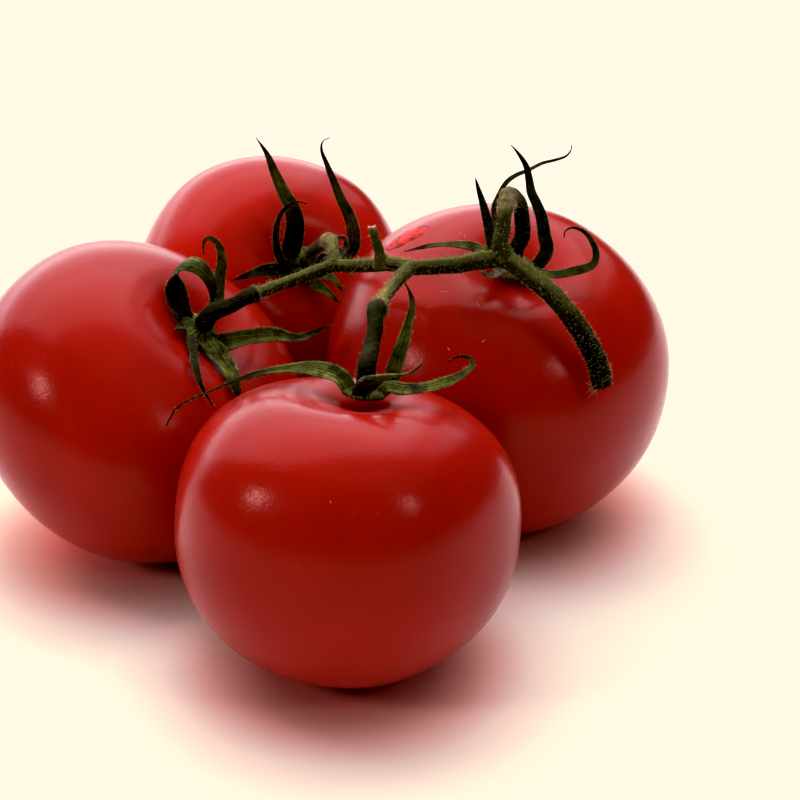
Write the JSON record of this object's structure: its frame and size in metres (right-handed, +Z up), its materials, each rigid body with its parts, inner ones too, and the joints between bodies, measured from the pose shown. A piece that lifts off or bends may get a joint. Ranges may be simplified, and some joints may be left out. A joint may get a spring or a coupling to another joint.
{
  "type": "truss of tomatoes",
  "caption": "Truss of ripe round tomatoes on their green vine, with curling sepals, resting on the fruits' undersides.",
  "frame": {"origin": "on the surface that the fruits stand on, under the middle of the truss's bounding box", "axes": "+Z up, +X to the right as seen in the picture, +Y away from the camera, along the truss's longest extent"},
  "size_m": [0.1438, 0.1751, 0.0849],
  "materials": {
    "skin_front": "smooth glossy ripe tomato skin, deep red",
    "skin_left": "smooth glossy ripe tomato skin, deep red",
    "skin_back": "smooth glossy ripe tomato skin, deep red",
    "skin_right": "smooth glossy ripe tomato skin, deep red, with a small wrinkled scar",
    "sepals": "thin hairy green sepals with lengthwise ribs, pale hairy edges and dry brown tips",
    "stalks": "hairy olive-green stem, darker below, tan at the knuckles"
  },
  "bodies": {
    "root": {"tomato_front": "skin_front", "tomato_left": "skin_left", "tomato_back": "skin_back", "tomato_right": "skin_right", "calyx_front": "sepals", "calyx_left": "sepals", "calyx_back": "sepals", "calyx_right": "sepals", "stalk_front": "stalks", "stalk_left": "stalks", "stalk_back": "stalks", "stalk_right": "stalks", "vine": "stalks"}
  },
  "joints": []
}
